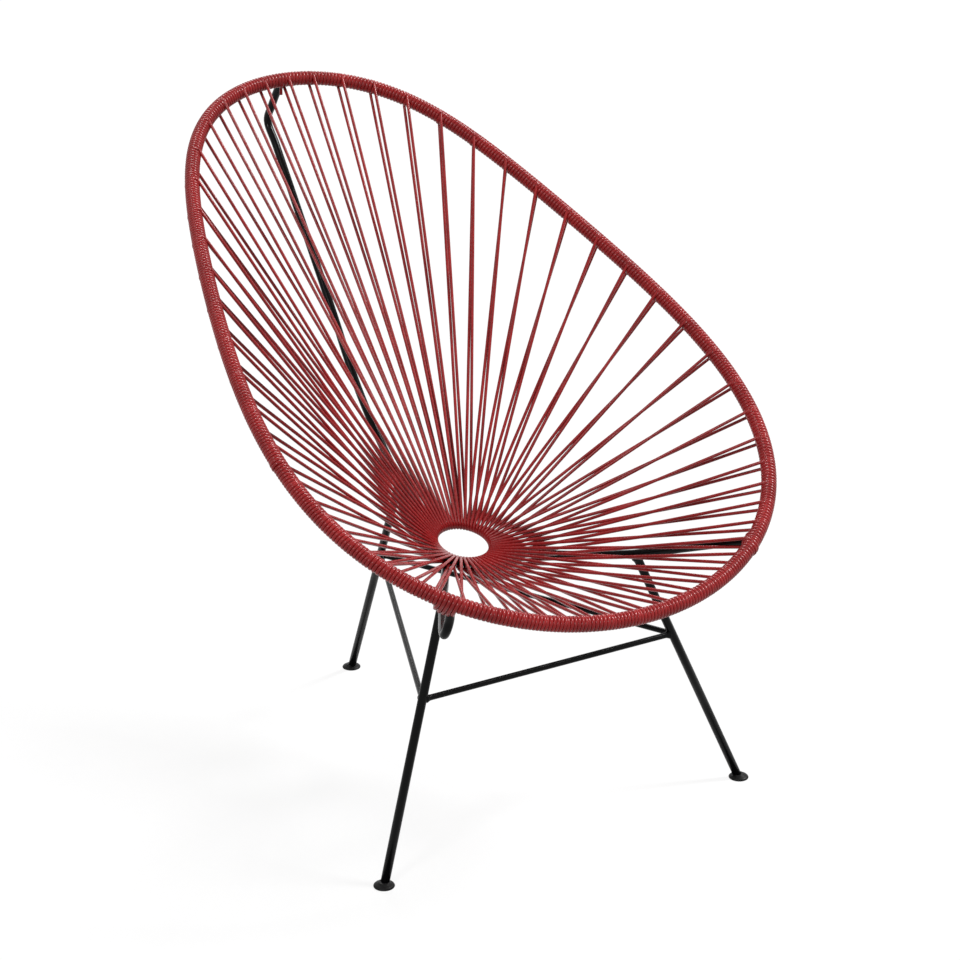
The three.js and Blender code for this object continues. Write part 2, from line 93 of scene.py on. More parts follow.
# Points of the back rib: shares of the way back and of the way up, from the ring to the crown
BACK_RIB_SHARES = (
    (0.029, 0.02), (0.058, 0.011), (0.1, 0.007), (0.18, 0.022), (0.29, 0.067),
    (0.43, 0.152), (0.57, 0.262), (0.744, 0.445), (0.945, 0.648), (1.105, 0.812),
    (1.163, 0.87), (1.129, 0.914), (1.05, 0.985),
)
BACK_LEG_INDEX = 4
RIB_UNDERLAP = 4 * MM

BAYS = 19
PAIRS_PER_BAY = 3
PAIRS = BAYS * PAIRS_PER_BAY
# Gaps between pairs of strands, and the pairs over which one gap turns into the next
FRONT_GAP = 35 * MM
SIDE_GAP = 65 * MM
CROWN_GAP = 41 * MM
FRONT_RAMP = (9, 14)
CROWN_RAMP = (22, 28)
WEAVE_SHIFT = 21 * MM
WEAVE_SHIFT_REACH = 400 * MM
RIM_SIDE_SHIFT = 1.5 * MM
RING_SIDE_SHIFT = 3.1 * MM
# Where the front ribs meet the rim, counted in pairs
RIM_JOINT_PLACES = {"right": 6.3, "left": PAIRS - 7.5}
WINDING_PITCH = 4.9 * MM

# The model stands with its outline centred on the origin
SHIFT_Y = (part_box("back_foot")[0][1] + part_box("back_foot")[1][1]) / 2 - BACK_FOOT_Y
SHIFT = Vector((0, SHIFT_Y, 0))

X_AXIS = Vector((1, 0, 0))
UP = Vector((0, 0, 1))
RIM_NORMAL = Vector((0, -sin(RIM_SLOPE), cos(RIM_SLOPE)))
RING_NORMAL = Vector((0, -sin(RING_SLOPE), cos(RING_SLOPE)))
RING_BACKWARD = Vector((0, cos(RING_SLOPE), sin(RING_SLOPE)))
RING_CENTRE = Vector((0, RING_Y, RING_HEIGHT)) + SHIFT
WRAP_RADIUS = (ROD + CORD) / 2
LOOP_RADIUS = (RING_ROD + CORD) / 2


# Meshes

SECTION_FULLNESS = 0.8


def across(vector, axis):
    """The part of a vector that is square to an axis."""
    return vector - axis * vector.dot(axis)


def skin(rows, closed=False):
    """Vertices and faces of a skin over rows of points, with an end face on each open end."""
    sides = len(rows[0])
    vertices = [point for row in rows for point in row]
    faces = []
    for i in range(len(rows) if closed else len(rows) - 1):
        near = i * sides
        far = ((i + 1) % len(rows)) * sides
        for j in range(sides):
            k = (j + 1) % sides
            faces.append((near + j, near + k, far + k, far + j))
    if not closed:
        end = (len(rows) - 1) * sides
        faces.append(tuple(reversed(range(sides))))
        faces.append(tuple(end + j for j in range(sides)))
    return vertices, faces


def tangents_of(path, closed=False):
    tangents = []
    for i in range(len(path)):
        before = path[i - 1] if i or closed else path[0]
        after = path[(i + 1) % len(path)] if i < len(path) - 1 or closed else path[-1]
        tangents.append((after - before).normalized())
    return tangents


def tube(path, radius, sides, closed=False):
    """A round skin along a path; radius is one number or one per point."""
    radii = radius if isinstance(radius, (list, tuple)) else [radius] * len(path)
    tangents = tangents_of(path, closed)
    normal = tangents[0].orthogonal().normalized()
    normals = []
    for tangent in tangents:
        normal = across(normal, tangent).normalized()
        normals.append(normal)
    # Round a closed path the normal can come back turned, so each row takes up a part of that
    twist = 0
    if closed:
        carried = across(normals[-1], tangents[0]).normalized()
        twist = atan2(tangents[0].dot(normals[0].cross(carried)), carried.dot(normals[0]))
    rows = []
    for i, (point, tangent, normal) in enumerate(zip(path, tangents, normals)):
        side = tangent.cross(normal)
        turn = -twist * i / len(path)
        row = []
        for j in range(sides):
            angle = 2 * pi * j / sides + turn
            row.append(point + (normal * cos(angle) + side * sin(angle)) * radii[i])
        rows.append(row)
    return skin(rows, closed)


def squared(value):
    """A cosine or sine pushed out, so that a round section grows fuller towards its corners."""
    return abs(value) ** SECTION_FULLNESS * (1 if value > 0 else -1)


def oval_tube(path, normals, height, widths, sides):
    """A skin of full oval section along a path: high along the normals, and wide beside them."""
    rows = []
    for point, tangent, normal, width in zip(path, tangents_of(path), normals, widths):
        up = across(normal, tangent).normalized()
        side = tangent.cross(up)
        row = []
        for j in range(sides):
            angle = 2 * pi * j / sides
            high = height / 2 * squared(cos(angle))
            wide = width / 2 * squared(sin(angle))
            row.append(point + up * high + side * wide)
        rows.append(row)
    return skin(rows)


def lathe(profile, base, sides):
    """A turned solid about a vertical axis, from pairs of radius and height, from the top down."""
    vertices = []
    for reach, height in profile:
        for j in range(sides):
            angle = 2 * pi * j / sides
            vertices.append(base + Vector((reach * cos(angle), reach * sin(angle), height)))
    faces = []
    for i in range(len(profile) - 1):
        near = i * sides
        far = near + sides
        for j in range(sides):
            k = (j + 1) % sides
            faces.append((near + j, far + j, far + k, near + k))
    end = (len(profile) - 1) * sides
    faces.append(tuple(range(sides)))
    faces.append(tuple(end + j for j in reversed(range(sides))))
    return vertices, faces


def add_object(name, data):
    added = bpy.data.objects.new(name, data)
    bpy.context.scene.collection.objects.link(added)
    return added


def add_piece(name, parts, material, slot, *nodes):
    """One object of several parts that stands for CAD nodes. Round sides are smooth, ends flat."""
    vertices = []
    faces = []
    for part_vertices, part_faces in parts:
        first = len(vertices)
        vertices.extend(part_vertices)
        faces.extend(tuple(first + index for index in face) for face in part_faces)
    mesh = bpy.data.meshes.new(name)
    mesh.from_pydata(vertices, [], faces)
    mesh.polygons.foreach_set("use_smooth", [len(face) == 4 for face in faces])
    mesh.materials.append(material)
    mesh.update()
    piece = add_object(name, mesh)
    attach(piece, "root")
    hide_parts(*nodes)


# Materials

WHITE = (1, 1, 1, 1)


def grey(tone):
    return (tone, tone, tone, 1)


def new_material(name):
    material = bpy.data.materials.new(name)
    material.use_nodes = True
    tree = material.node_tree
    return material, tree, tree.nodes["Principled BSDF"]


def add_node(tree, kind, **inputs):
    node = tree.nodes.new(kind)
    for name, value in inputs.items():
        node.inputs[name.replace("_", " ")].default_value = value
    return node


def noise_of(tree, scale, detail):
    place = tree.nodes.new("ShaderNodeTexCoord")
    noise = add_node(tree, "ShaderNodeTexNoise", Scale=scale, Detail=detail)
    tree.links.new(place.outputs["Object"], noise.inputs["Vector"])
    return noise.outputs["Fac"]


def ramp_of(tree, source, stops):
    ramp = tree.nodes.new("ShaderNodeValToRGB")
    elements = ramp.color_ramp.elements
    elements[0].position, elements[0].color = stops[0]
    elements[1].position, elements[1].color = stops[-1]
    for position, color in stops[1:-1]:
        elements.new(position).color = color
    tree.links.new(source, ramp.inputs["Fac"])
    return ramp.outputs["Color"]


def finish(name, colour, gloss, bump, specular):
    """A material that varies with noise, each noise given as its scale and its detail.

    Colour and gloss are a noise and the stops of its ramp, and bump is a noise, its strength and
    its height.
    """
    material, tree, shader = new_material(name)
    for socket, (noise, stops) in (("Base Color", colour), ("Roughness", gloss)):
        ramp = ramp_of(tree, noise_of(tree, *noise), stops)
        tree.links.new(ramp, shader.inputs[socket])
    noise, strength, height = bump
    relief = add_node(tree, "ShaderNodeBump", Strength=strength, Distance=height)
    tree.links.new(noise_of(tree, *noise), relief.inputs["Height"])
    tree.links.new(relief.outputs["Normal"], shader.inputs["Normal"])
    shader.inputs["Specular IOR Level"].default_value = specular
    return material


# Glossy vinyl: one red that varies a little along the cord, with a faint ripple
CORD_PATCHES = (26, 3)
CORD_REDS = (
    (0.3, (0.235, 0.009, 0.01, 1)),
    (0.5, (0.29, 0.012, 0.013, 1)),
    (0.7, (0.35, 0.017, 0.018, 1)),
)
CORD_RIPPLE = (420, 2)
CORD_FINISH = finish(
    "red_vinyl_cord",
    colour=(CORD_PATCHES, CORD_REDS),
    gloss=(CORD_RIPPLE, ((0.3, grey(0.22)), (0.7, grey(0.32)))),
    bump=(CORD_RIPPLE, 0.25, 0.2 * MM),
    specular=0.25,
)

# Black powder coat: a fine orange-peel skin, glossier in some places than in others
STEEL_PEEL = (700, 2)
STEEL_BLACKS = (
    (0.3, (0.0025, 0.0025, 0.0028, 1)),
    (0.7, (0.0055, 0.0055, 0.006, 1)),
)
STEEL_WEAR = (34, 4)
STEEL_FINISH = finish(
    "black_powder_coat",
    colour=(STEEL_PEEL, STEEL_BLACKS),
    gloss=(STEEL_WEAR, ((0.35, grey(0.17)), (0.65, grey(0.25)))),
    bump=(STEEL_PEEL, 0.2, 0.12 * MM),
    specular=0.08,
)

# Black moulded rubber, matt and slightly mottled
RUBBER_MOTTLE = (300, 4)
RUBBER_FINISH = finish(
    "black_rubber",
    colour=(RUBBER_MOTTLE, ((0.3, grey(0.003)), (0.7, grey(0.007)))),
    gloss=(RUBBER_MOTTLE, ((0.3, grey(0.4)), (0.7, grey(0.55)))),
    bump=(RUBBER_MOTTLE, 0.3, 0.15 * MM),
    specular=0.12,
)


# Rim line

RIM_SAMPLES = 4000
RIM_TANGENT_STEP = 0.25 / RIM_SAMPLES


def rim_at(t):
    """A point of the rim's middle line, with t from 0 at the front lip to 1 all the way round."""
    angle = 2 * pi * t
    along = -cos(angle)
    wide = sum(share * sin((i + 1) * angle) for i, share in enumerate(RIM_WAVE_SHARES))
    depth = RIM_DEPTH / 2 * along
    lift = RIM_BOW * cos(pi * along) - RIM_SWAY * sin(pi * along)
    y = depth * cos(RIM_SLOPE) - lift * sin(RIM_SLOPE)
    z = RIM_HEIGHT + depth * sin(RIM_SLOPE) + lift * cos(RIM_SLOPE)
    return Vector((RIM_WIDTH / 2 * wide, y, z)) + SHIFT


# Distance along the rim at each sample
RIM_TABLE = [0.0]
for step in range(RIM_SAMPLES):
    chord = rim_at((step + 1) / RIM_SAMPLES) - rim_at(step / RIM_SAMPLES)
    RIM_TABLE.append(RIM_TABLE[-1] + chord.length)
RIM_LENGTH = RIM_TABLE[-1]


def rim_parameter(distance):
    """The t of rim_at for a distance along the rim."""
    wanted = distance % RIM_LENGTH
    low = 0
    high = RIM_SAMPLES
    while high - low > 1:
        middle = (low + high) // 2
        if RIM_TABLE[middle] <= wanted:
            low = middle
        else:
            high = middle
    part = (wanted - RIM_TABLE[low]) / (RIM_TABLE[low + 1] - RIM_TABLE[low])
    return (low + part) / RIM_SAMPLES


def rim_frame(distance):
    """Centre, tangent, outward and downward of the rim at a distance from the front lip."""
    t = rim_parameter(distance)
    centre = rim_at(t)
    tangent = (rim_at(t + RIM_TANGENT_STEP) - rim_at(t - RIM_TANGENT_STEP)).normalized()
    outward = tangent.cross(RIM_NORMAL).normalized()
    return centre, tangent, outward, tangent.cross(outward)


# Where the pairs of strands meet the rim

def smoothstep(value, low, high):
    share = min(1, max(0, (value - low) / (high - low)))
    return share * share * (3 - 2 * share)


def pair_distances():
    """Even places of all the pairs, from the front lip round by the right side."""
    half = (PAIRS - 1) // 2
    distances = [FRONT_GAP / 2]
    for i in range(1, half + 1):
        gap = FRONT_GAP
        gap += (SIDE_GAP - FRONT_GAP) * smoothstep(i, *FRONT_RAMP)
        gap += (CROWN_GAP - SIDE_GAP) * smoothstep(i, *CROWN_RAMP)
        distances.append(distances[-1] + gap)
    scale = RIM_LENGTH / 2 / distances[half]
    right = [distance * scale for distance in distances]
    left = [RIM_LENGTH - distance for distance in reversed(right[:half])]
    shifted = []
    for distance in right + left:
        from_lip = min(distance, RIM_LENGTH - distance)
        shifted.append(distance - WEAVE_SHIFT * max(0, 1 - from_lip / WEAVE_SHIFT_REACH))
    return shifted


PAIR_DISTANCES = pair_distances()


def place_distance(place):
    """Distance of a place counted in pairs, such as 6.3 for a little past the seventh pair."""
    pair = floor(place)
    share = place - pair
    return PAIR_DISTANCES[pair] * (1 - share) + PAIR_DISTANCES[pair + 1] * share


# The cord is strung by hand, so a pair sits a little off its even place. Each row is a pair's index
# and how far it sits along the rim from that place, in mm, and the pairs between follow on.
STRUNG_OFFSETS = (
    (0, -9), (1, -6), (3, 3), (5, 7), (7, 7), (8, 10), (10, 11), (11, 9), (12, 5), (13, -1),
    (14, -4), (18, -3), (22, -2), (25, 0), (27, 5), (31, 6), (32, 9), (33, 21), (34, 24),
    (35, 24), (36, 17), (38, 18), (39, 24), (44, 24), (45, 18), (46, 2), (47, -8), (48, -4),
    (49, -8), (51, -1), (52, 4), (55, -14), (57, -9),
)


def strung_distance(index):
    """Where a pair really sits along the rim."""
    for (low, before), (high, after) in zip(STRUNG_OFFSETS, STRUNG_OFFSETS[1:]):
        if low <= index <= high:
            offset = before + (after - before) * (index - low) / (high - low)
    return PAIR_DISTANCES[index] + offset * MM


# Lines of the ribs and legs. The cord is wound over the ends of the ribs, so they come first.

RIB_SEAT_DEPTH = LOOP_RADIUS + CORD / 2 + ROD / 2
SIGNS = {"right": 1, "left": -1}
SIDES = ("right", "left", "back")


def ring_point(angle):
    """A point of the ring's middle line, with the angle from its front towards the right."""
    offset = X_AXIS * (RING_RADIUS * sin(angle)) - RING_BACKWARD * (RING_RADIUS * cos(angle))
    return RING_CENTRE + offset


def short_of(middle, start):
    """The end of a rod, a quarter of its diameter short of the middle of the rod it meets."""
    return middle + (start - middle).normalized() * (ROD / 4)


def seat_over_leg(sign):
    """The point of the seat over a front leg, on the straight line from the ring to the rim."""
    ring_joint = ring_point(sign * FRONT_RIB_RING_ANGLE)
    rim_joint = rim_frame(sign * FRONT_LEG_RIM_SHARE * RIM_LENGTH)[0]
    return ring_joint.lerp(rim_joint, FRONT_LEG_SHARE)


def front_leg_top(sign):
    return seat_over_leg(sign) - UP * FRONT_LEG_DROP


def front_rib_points(side):
    sign = SIGNS[side]
    leg_top = front_leg_top(sign)
    ring_joint = ring_point(sign * FRONT_RIB_RING_ANGLE)
    rim_joint = rim_frame(place_distance(RIM_JOINT_PLACES[side]))[0]
    inward = (RING_CENTRE - ring_joint).normalized()
    points = [ring_joint - RING_NORMAL * RIB_SEAT_DEPTH + inward * RIB_UNDERLAP]
    for share, drop in FRONT_RIB_INNER_DROPS:
        points.append(ring_joint.lerp(seat_over_leg(sign), share) - UP * drop)
    plan = across(rim_joint - leg_top, UP).normalized()
    aside = UP.cross(plan)
    elbow = []
    for along, left, up in ELBOW_OFFSETS[side]:
        elbow.append(rim_joint + plan * along - aside * left + UP * up)
    points += [leg_top, leg_top.lerp(elbow[0], 1 / 2)]
    return points + elbow + [short_of(rim_joint, elbow[-1])]


def back_rib_points():
    crown = rim_at(1 / 2)
    ring_joint = ring_point(pi) - RING_NORMAL * RIB_SEAT_DEPTH
    span = crown - ring_joint
    points = [ring_joint + Vector((0, back * span.y, up * span.z)) for back, up in BACK_RIB_SHARES]
    return points + [short_of(crown, points[-1])]


RIB_POINTS = {
    "right": front_rib_points("right"),
    "left": front_rib_points("left"),
    "back": back_rib_points(),
}
LEG_TOPS = {
    "right": front_leg_top(1),
    "left": front_leg_top(-1),
    "back": RIB_POINTS["back"][BACK_LEG_INDEX],
}


# Strands: from the top of the rim, under the ring, round its inner side, and back over it to the
# underside of the rim

LOOP_STEPS = 14
STRAND_STEPS = 10
CORD_SIDES = 10
# The winding turns into a strand over this part of a turn, and a strand that leaves the rim at a
# slant is lifted off it by up to this share of the cord's width
BEND = radians(60)
LEAVE_LIFT = 0.6


class Pair:
    """One pair of strands: where it leaves the rim and the line of its cord."""

    def __init__(self, index):
        angle = 2 * pi * (index + 1 / 2) / PAIRS
        self.distance = strung_distance(index)
        centre, tangent, outward, downward = rim_frame(self.distance)
        ring = ring_point(angle)
        ring_outward = (ring - RING_CENTRE).normalized()
        ring_tangent = RING_NORMAL.cross(ring_outward)
        direction = (centre - ring).normalized()
        climb = atan2(direction.dot(RING_NORMAL), across(direction, RING_NORMAL).length)
        rise = direction.cross(tangent).normalized()
        if rise.z < 0:
            rise.negate()
        sideways = rise.cross(direction).normalized()
        if sideways.dot(tangent) < 0:
            sideways.negate()
        self.rim_shift = RIM_SIDE_SHIFT / sideways.dot(tangent)
        self.slant = direction.dot(tangent) / across(direction, tangent).length
        self.lift = LEAVE_LIFT * CORD * min(1, abs(self.slant))

        def loop_offset(turn):
            away = ring_outward * (LOOP_RADIUS * cos(turn))
            return away + RING_NORMAL * (LOOP_RADIUS * sin(turn))

        def ring_shift(side, turn):
            wanted = side * RING_SIDE_SHIFT - loop_offset(turn).dot(sideways)
            return wanted / ring_tangent.dot(sideways)

        under_turn = climb - pi / 2
        over_turn = under_turn - pi
        under_shift = ring_shift(-1, under_turn)
        over_shift = ring_shift(1, over_turn)
        self.loop = []
        for i in range(LOOP_STEPS + 1):
            share = i / LOOP_STEPS
            turn = under_turn + (over_turn - under_turn) * share
            along = under_shift + (over_shift - under_shift) * share
            self.loop.append(ring + loop_offset(turn) + ring_tangent * along)
        self.top = centre + rise * (WRAP_RADIUS + self.lift) - tangent * self.rim_shift
        self.bottom = centre - rise * (WRAP_RADIUS + self.lift) + tangent * self.rim_shift
        # Turn round the rim: 0 outside, a quarter on top, a half inside
        self.top_turn = -atan2(rise.dot(downward), rise.dot(outward)) % (2 * pi)
        self.bottom_turn = self.top_turn + pi


def strand(start, end):
    """Points of a strand, which is strung straight."""
    return [start.lerp(end, i / STRAND_STEPS) for i in range(STRAND_STEPS + 1)]


PAIR_LINES = [Pair(index) for index in range(PAIRS)]

# Winding: the cord goes round the rim from one pair of strands to the next, with as many even turns
# as fill the way. It also covers the ends of the ribs, and a few of its own ends are tucked in.

TURN_STEPS = 18


def turn_toward(distance, point):
    """Turn round the rim's section, at a distance along it, that faces a point."""
    centre, _, outward, downward = rim_frame(distance)
    offset = point - centre
    return -atan2(offset.dot(downward), offset.dot(outward))


def rib_bulge(distance, side, height, reach):
    return distance, height, turn_toward(distance, RIB_POINTS[side][-2]), reach


# What the winding covers: its distance along the rim, height, turn round it, and half length
BULGES = (
    rib_bulge(place_distance(RIM_JOINT_PLACES["right"]), "right", 4 * MM, 12 * MM),
    rib_bulge(place_distance(RIM_JOINT_PLACES["left"]) - 7 * MM, "left", 13.5 * MM, 15 * MM),
    rib_bulge(RIM_LENGTH / 2, "back", 3 * MM, 12 * MM),
    (0.0755 * RIM_LENGTH, 1.8 * MM, radians(350), 5 * MM),
    (0.39 * RIM_LENGTH, 1.6 * MM, radians(170), 5 * MM),
    (0.413 * RIM_LENGTH, 1.8 * MM, radians(170), 6 * MM),
    (0.8075 * RIM_LENGTH, 1.6 * MM, radians(20), 5 * MM),
)


def wrap_radius(distance, turn):
    """Distance from the rim's middle line to the cord's: more where it also covers something."""
    reach = WRAP_RADIUS
    for place, height, centre_turn, half_length in BULGES:
        gap = abs(distance - place)
        if gap >= half_length:
            continue
        offset = height * sqrt(1 - (gap / half_length) ** 2)
        toward = cos(turn - centre_turn)
        aside = abs(sin(turn - centre_turn))
        if toward <= 0:
            continue
        if aside > 0 and toward * reach / aside <= offset:
            reach = reach / aside
        else:
            reach = offset * toward + sqrt(max(0, reach ** 2 - (offset * aside) ** 2))
    return reach


def wrap_point(distance, turn, lift):
    """A point of the cord's middle line on the rim, and the way out from the rim there."""
    centre, _, outward, downward = rim_frame(distance)
    way = outward * cos(turn) - downward * sin(turn)
    return centre + way * (wrap_radius(distance % RIM_LENGTH, turn) + lift), way


def stretch(index):
    """Cord from the underside of one pair to the top of the next: points, ways out and widths."""
    here = PAIR_LINES[index]
    there = PAIR_LINES[(index + 1) % PAIRS]
    length = (there.distance - here.distance) % RIM_LENGTH
    turns = round(length / WINDING_PITCH)
    pitch = length / turns
    inner_pitch = length / (turns - 1)
    first = here.bottom_turn
    last = there.top_turn + 2 * pi * turns
    steps = ceil((last - first) / (2 * pi) * TURN_STEPS)

    def even(turn):
        """Distance of a turn: its outer passes fill the way evenly, and its inner ones too."""
        rounds = turn / (2 * pi)
        inside = (1 - cos(turn)) / 2
        along = pitch * (rounds - 1 / 2) * (1 - inside) + inner_pitch * (rounds - 1) * inside
        return here.distance + along

    start_miss = here.distance + here.rim_shift - even(first)
    end_miss = here.distance + length - there.rim_shift - even(last)
    points = []
    ways = []
    widths = []
    for i in range(steps + 1):
        turn = first + (last - first) * i / steps
        distance = even(turn)
        lift = 0
        width = pitch + (inner_pitch - pitch) * (1 - cos(turn)) / 2
        ends = ((here, start_miss, turn - first), (there, end_miss, last - turn))
        for pair, miss, away in ends:
            if away >= BEND:
                continue
            share = 1 - away / BEND
            distance += miss * share ** 2 * (3 - 2 * share)
            distance += WRAP_RADIUS * pair.slant * BEND * (share ** 2 - share ** 3)
            lift = pair.lift * share ** 2
            width += (CORD - width) * share
        point, way = wrap_point(distance, turn, lift)
        points.append(point)
        ways.append(way)
        widths.append(width)
    return points, ways, widths


STRETCHES = [stretch(index) for index in range(PAIRS)]
CROWN_BAY = BAYS // 2
CROWN_END_SHARE = 0.506
CORD_END_STEPS = 8


def cord_end(distance, turn, reach, drop, hang):
    """A cut end of the cord that comes out from under a turn of the winding.

    It runs along the rim by its reach and round it by its drop, and then hangs straight down.
    """
    path = []
    for i in range(CORD_END_STEPS + 1):
        share = i / CORD_END_STEPS
        lift = CORD * (sin(pi * share / 2) - 1 / 2)
        path.append(wrap_point(distance + reach * share, turn + drop * share, lift)[0])
    for i in range(CORD_END_STEPS):
        path.append(path[CORD_END_STEPS] - UP * (hang * (i + 1) / CORD_END_STEPS))
    return tube(path, CORD / 2, CORD_SIDES)


for bay in range(BAYS):
    number = f"{bay + 1:02d}"
    strands = []
    windings = []
    for index in range(bay * PAIRS_PER_BAY, (bay + 1) * PAIRS_PER_BAY):
        pair = PAIR_LINES[index]
        points_before = STRETCHES[index - 1][0]
        points, ways, widths = STRETCHES[index]
        # A pair's line starts and ends a step inside the winding that it comes from and goes on as
        path = [points_before[-2]]
        path += strand(pair.top, pair.loop[0])
        path += pair.loop[1:-1]
        path += strand(pair.loop[-1], pair.bottom)
        path.append(points[1])
        strands.append(tube(path, CORD / 2, CORD_SIDES))
        windings.append(oval_tube(points, ways, CORD, widths, CORD_SIDES))
    add_piece(f"seat_strands_{number}", strands, CORD_FINISH, "cord", f"seat_cords_{number}")
    if bay == CROWN_BAY:
        windings.append(cord_end(
            CROWN_END_SHARE * RIM_LENGTH,
            turn=radians(150), reach=-2 * MM, drop=radians(75), hang=11 * MM,
        ))
    add_piece(f"rim_cord_{number}", windings, CORD_FINISH, "cord", f"rim_winding_{number}")


# Steel frame

ROD_SIDES = 24
RIB_STEPS = 90
RING_STEPS = 96
FLARE_STEPS = 6
WELD_LENGTH = 7 * MM
WELD_SPREAD = 2 * MM
ROD_EASE_SHARE = 0.15

FEET = {
    "right": Vector((FRONT_FOOT_X, FRONT_FOOT_Y, 0)) + SHIFT,
    "left": Vector((-FRONT_FOOT_X, FRONT_FOOT_Y, 0)) + SHIFT,
    "back": Vector((0, BACK_FOOT_Y, 0)) + SHIFT,
}
FOOT_SIDES = 48
LEG_BOTTOM = 0.6 * FOOT_HEIGHT
# Radius and height of each edge of a foot, from the collar round the leg to the floor
FOOT_PROFILE = (
    (ROD / 2 + 0.2 * MM, FOOT_HEIGHT + 1.5 * MM),
    (ROD / 2 + 1.2 * MM, FOOT_HEIGHT + 1.4 * MM),
    (ROD / 2 + 1.7 * MM, FOOT_HEIGHT + 0.6 * MM),
    (ROD / 2 + 2.6 * MM, FOOT_HEIGHT - 0.1 * MM),
    (FOOT_RADIUS * 0.78, FOOT_HEIGHT - 0.9 * MM),
    (FOOT_RADIUS * 0.9, FOOT_HEIGHT - 1.8 * MM),
    (FOOT_RADIUS * 0.97, FOOT_HEIGHT - 2.8 * MM),
    (FOOT_RADIUS, FOOT_HEIGHT - 3.7 * MM),
    (FOOT_RADIUS * 0.98, FOOT_HEIGHT - 4.6 * MM),
    (FOOT_RADIUS * 0.93, 0),
)


def smooth_line(points, steps):
    """A centripetal spline through the points."""
    ends = [points[0] * 2 - points[1]] + list(points) + [points[-1] * 2 - points[-2]]
    line = []
    spans = len(points) - 1
    per_span = ceil(steps / spans)
    for i in range(spans):
        p0, p1, p2, p3 = ends[i:i + 4]
        d0 = sqrt((p1 - p0).length)
        d1 = sqrt((p2 - p1).length)
        d2 = sqrt((p3 - p2).length)
        m1 = ((p1 - p0) / d0 - (p2 - p0) / (d0 + d1) + (p2 - p1) / d1) * d1
        m2 = ((p2 - p1) / d1 - (p3 - p1) / (d1 + d2) + (p3 - p2) / d2) * d1
        cubic = (p1 - p2) * 2 + m1 + m2
        square = (p2 - p1) * 3 - m1 * 2 - m2
        for k in range(per_span):
            t = k / per_span
            line.append(((cubic * t + square) * t + m1) * t + p1)
    line.append(points[-1])
    return line


def rod(path, radius):
    """A round rod with its end edges eased."""
    ease = radius * ROD_EASE_SHARE
    start = path[0].lerp(path[1], min(1, ease / (path[1] - path[0]).length))
    end = path[-1].lerp(path[-2], min(1, ease / (path[-2] - path[-1]).length))
    line = [path[0], start] + path[1:-1] + [end, path[-1]]
    radii = [radius - ease, radius] + [radius] * (len(path) - 2) + [radius, radius - ease]
    return tube(line, radii, ROD_SIDES)


def welded_rod(start, end, radius, start_weld=None, end_weld=None):
    """A straight rod whose skin spreads into a weld, at a distance from either of its ends."""
    length = (end - start).length
    shares = [i / FLARE_STEPS for i in range(FLARE_STEPS + 1)]
    flare = [(WELD_LENGTH * share, radius + WELD_SPREAD * (1 - share) ** 2) for share in shares]
    stations = [(0, radius)]
    if start_weld is not None:
        stations += [(start_weld + along, reach) for along, reach in flare]
    if end_weld is not None:
        stations += [(length - end_weld - along, reach) for along, reach in reversed(flare)]
    stations.append((length, radius))
    path = [start.lerp(end, place / length) for place, _ in stations]
    return tube(path, [reach for _, reach in stations], ROD_SIDES)


def leg_point(side, height):
    return FEET[side].lerp(LEG_TOPS[side], height / LEG_TOPS[side].z)


def add_steel(name, part, node):
    add_piece(name, [part], STEEL_FINISH, "steel", node)


ring_line = [ring_point(2 * pi * i / RING_STEPS) for i in range(RING_STEPS)]
add_steel("ring_rod", tube(ring_line, RING_ROD / 2, ROD_SIDES, closed=True), "centre_ring")

for i, side in enumerate(SIDES):
    other = SIDES[(i + 1) % len(SIDES)]
    rib = rod(smooth_line(RIB_POINTS[side], RIB_STEPS), ROD / 2)
    add_steel(f"{side}_rib_rod", rib, f"{side}_rib")
    leg = welded_rod(leg_point(side, LEG_BOTTOM), LEG_TOPS[side], ROD / 2, end_weld=ROD / 2)
    add_steel(f"{side}_leg_rod", leg, f"{side}_leg")
    ends = (leg_point(side, STRETCHER_HEIGHT), leg_point(other, STRETCHER_HEIGHT))
    stretcher = welded_rod(*ends, STRETCHER_ROD / 2, start_weld=ROD / 2, end_weld=ROD / 2)
    add_steel(f"{side}_{other}_stretcher_rod", stretcher, f"{side}_{other}_stretcher")
    foot = lathe(FOOT_PROFILE, FEET[side], FOOT_SIDES)
    add_piece(f"{side}_glide", [foot], RUBBER_FINISH, "rubber", f"{side}_foot")

# The rim's own rod stays, and only takes the finish of the rest
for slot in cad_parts["rim_tube"].material_slots:
    slot.link = "OBJECT"
    slot.material = STEEL_FINISH


# Floor, light and camera

FLOOR_REACH = 12
# The share of plain white over the floor's shading, and the tone of what its light bounces off
FLOOR_WHITENESS = 0.85
FLOOR_BOUNCE_TONE = 0.35
WORLD_STRENGTH = 0.25

CAMERA_PLACE = Vector((-1553.2, -2590.2, 1515.8)) * MM + SHIFT
CAMERA_ROTATION = (radians(69.82), 0, radians(-31.698))
CAMERA_LENS = 86.75
CAMERA_SENSOR = 36


def seen_directly(tree):
    """1 for rays that show the background: from the camera, in a reflection or through glass."""
    path = tree.nodes.new("ShaderNodeLightPath")
    total = path.outputs["Is Camera Ray"]
    for kind in ("Is Glossy Ray", "Is Transmission Ray"):
        add = tree.nodes.new("ShaderNodeMath")
        add.operation = "ADD"
        add.use_clamp = True
        tree.links.new(total, add.inputs[0])
        tree.links.new(path.outputs[kind], add.inputs[1])
        total = add.outputs["Value"]
    return total


def mix_seen(tree, unseen, seen):
    """A mix of two shaders: the second where seen directly, and the first for all other light."""
    mix = tree.nodes.new("ShaderNodeMixShader")
    tree.links.new(seen_directly(tree), mix.inputs["Fac"])
    tree.links.new(unseen, mix.inputs[1])
    tree.links.new(seen, mix.inputs[2])
    return mix.outputs["Shader"]


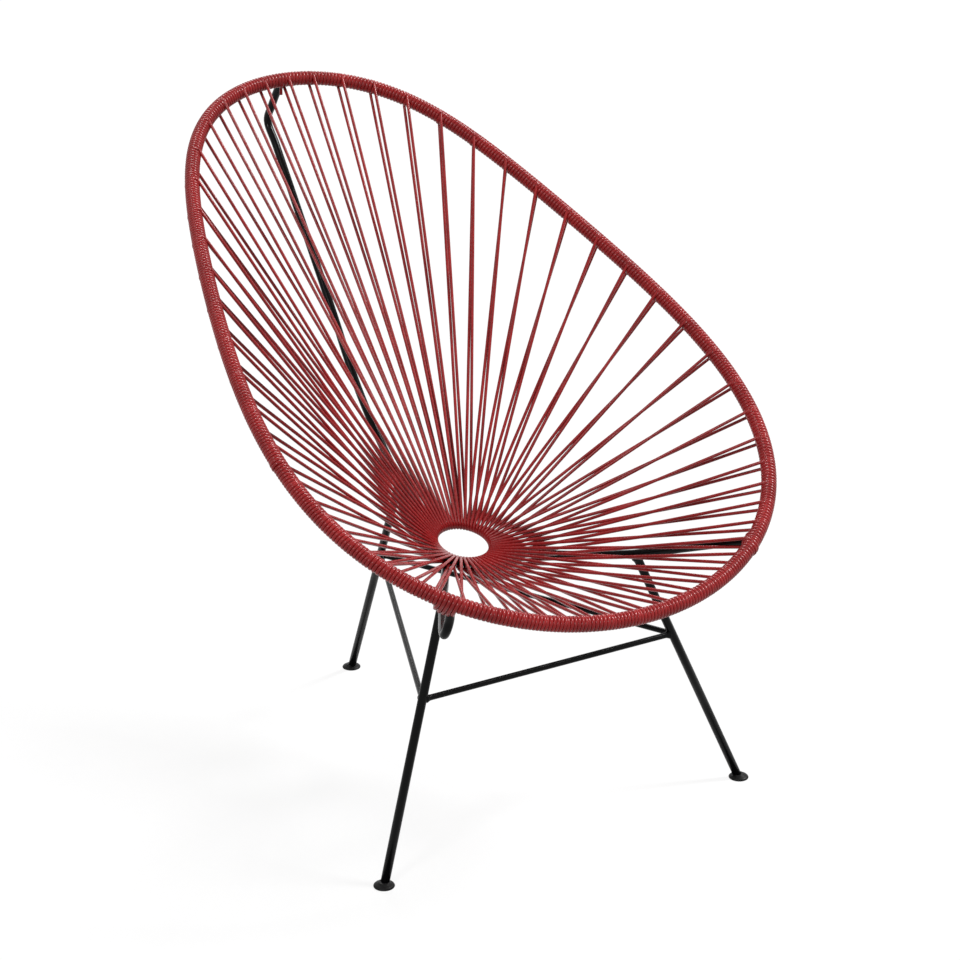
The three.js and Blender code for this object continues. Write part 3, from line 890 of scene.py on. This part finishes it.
def floor_material():
    """A white floor that shows only a faint part of its shading, so the shadow on it is soft."""
    material, tree, shader = new_material("pale_floor")
    tree.nodes.remove(shader)
    white = add_node(tree, "ShaderNodeEmission", Strength=1.0)
    shaded = add_node(tree, "ShaderNodeBsdfDiffuse", Color=WHITE)
    shown = add_node(tree, "ShaderNodeMixShader", Fac=FLOOR_WHITENESS)
    tree.links.new(shaded.outputs["BSDF"], shown.inputs[1])
    tree.links.new(white.outputs["Emission"], shown.inputs[2])
    bouncing = add_node(tree, "ShaderNodeBsdfDiffuse", Color=grey(FLOOR_BOUNCE_TONE))
    surface = mix_seen(tree, bouncing.outputs["BSDF"], shown.outputs["Shader"])
    tree.links.new(surface, tree.nodes["Material Output"].inputs["Surface"])
    return material


floor_mesh = bpy.data.meshes.new("floor")
floor_mesh.from_pydata(
    [(x * FLOOR_REACH, y * FLOOR_REACH, 0) for x, y in ((-1, -1), (1, -1), (1, 1), (-1, 1))],
    [], [(0, 1, 2, 3)],
)
floor_mesh.materials.append(floor_material())
add_object("floor", floor_mesh)


def sun(name, azimuth, elevation, strength, spread):
    """A soft distant lamp. Azimuth 0 shines from the front and 90 from the right."""
    lamp = bpy.data.lights.new(name, "SUN")
    lamp.energy = strength
    lamp.angle = radians(spread)
    add_object(name, lamp).rotation_euler = (radians(90 - elevation), 0, radians(azimuth))


sun("key_light", azimuth=75, elevation=48, strength=3.0, spread=12)
sun("fill_light", azimuth=-65, elevation=36, strength=1.2, spread=14)
sun("back_light", azimuth=155, elevation=35, strength=0.7, spread=16)

world = bpy.data.worlds.new("studio")
bpy.context.scene.world = world
world.use_nodes = True
tree = world.node_tree
background = tree.nodes["Background"]
background.inputs["Color"].default_value = WHITE
background.inputs["Strength"].default_value = WORLD_STRENGTH
shown = add_node(tree, "ShaderNodeBackground", Color=WHITE, Strength=1.0)
surface = mix_seen(tree, background.outputs["Background"], shown.outputs["Background"])
tree.links.new(surface, tree.nodes["World Output"].inputs["Surface"])

camera_data = bpy.data.cameras.new("camera")
camera_data.sensor_width = CAMERA_SENSOR
camera_data.lens = CAMERA_LENS
camera = add_object("camera", camera_data)
camera.location = CAMERA_PLACE
camera.rotation_euler = CAMERA_ROTATION
bpy.context.scene.camera = camera

bpy.context.scene.view_settings.view_transform = "Standard"
